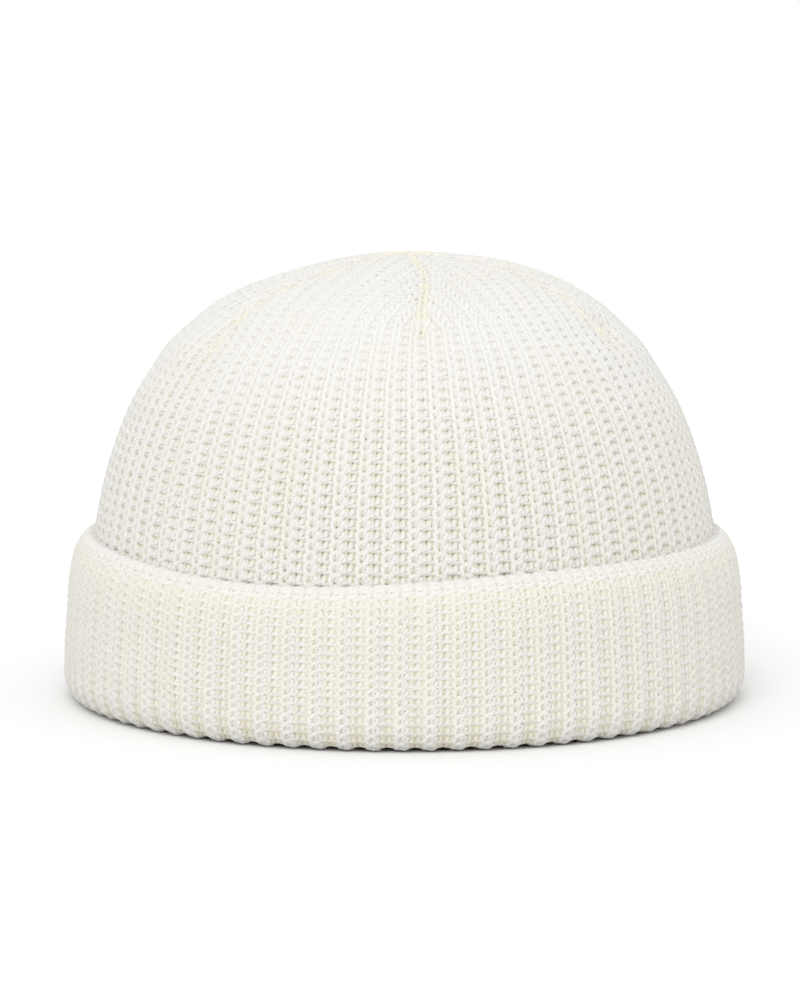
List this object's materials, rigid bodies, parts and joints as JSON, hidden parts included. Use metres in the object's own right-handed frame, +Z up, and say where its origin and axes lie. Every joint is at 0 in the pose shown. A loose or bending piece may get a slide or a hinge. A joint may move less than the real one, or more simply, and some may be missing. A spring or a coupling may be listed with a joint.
{
  "type": "ribbed knit beanie",
  "caption": "Short rib-knit cap with a turned-up cuff, standing in its worn dome shape, closed by darts at the crown and open below for a head.",
  "frame": {"origin": "middle of the base, on the surface that the hat stands on", "axes": "+Z up through the crown, the front of the hat faces -Y"},
  "size_m": [0.1982, 0.1984, 0.1274],
  "materials": {
    "rib_knit": "matt off-white rib knit",
    "seam_yarn": "matt off-white yarn"
  },
  "bodies": {
    "root": {"crown": "rib_knit", "cuff": "rib_knit", "dart_seam_1": "seam_yarn", "dart_seam_2": "seam_yarn", "dart_seam_3": "seam_yarn", "dart_seam_4": "seam_yarn", "dart_seam_5": "seam_yarn", "dart_seam_6": "seam_yarn"}
  },
  "joints": []
}
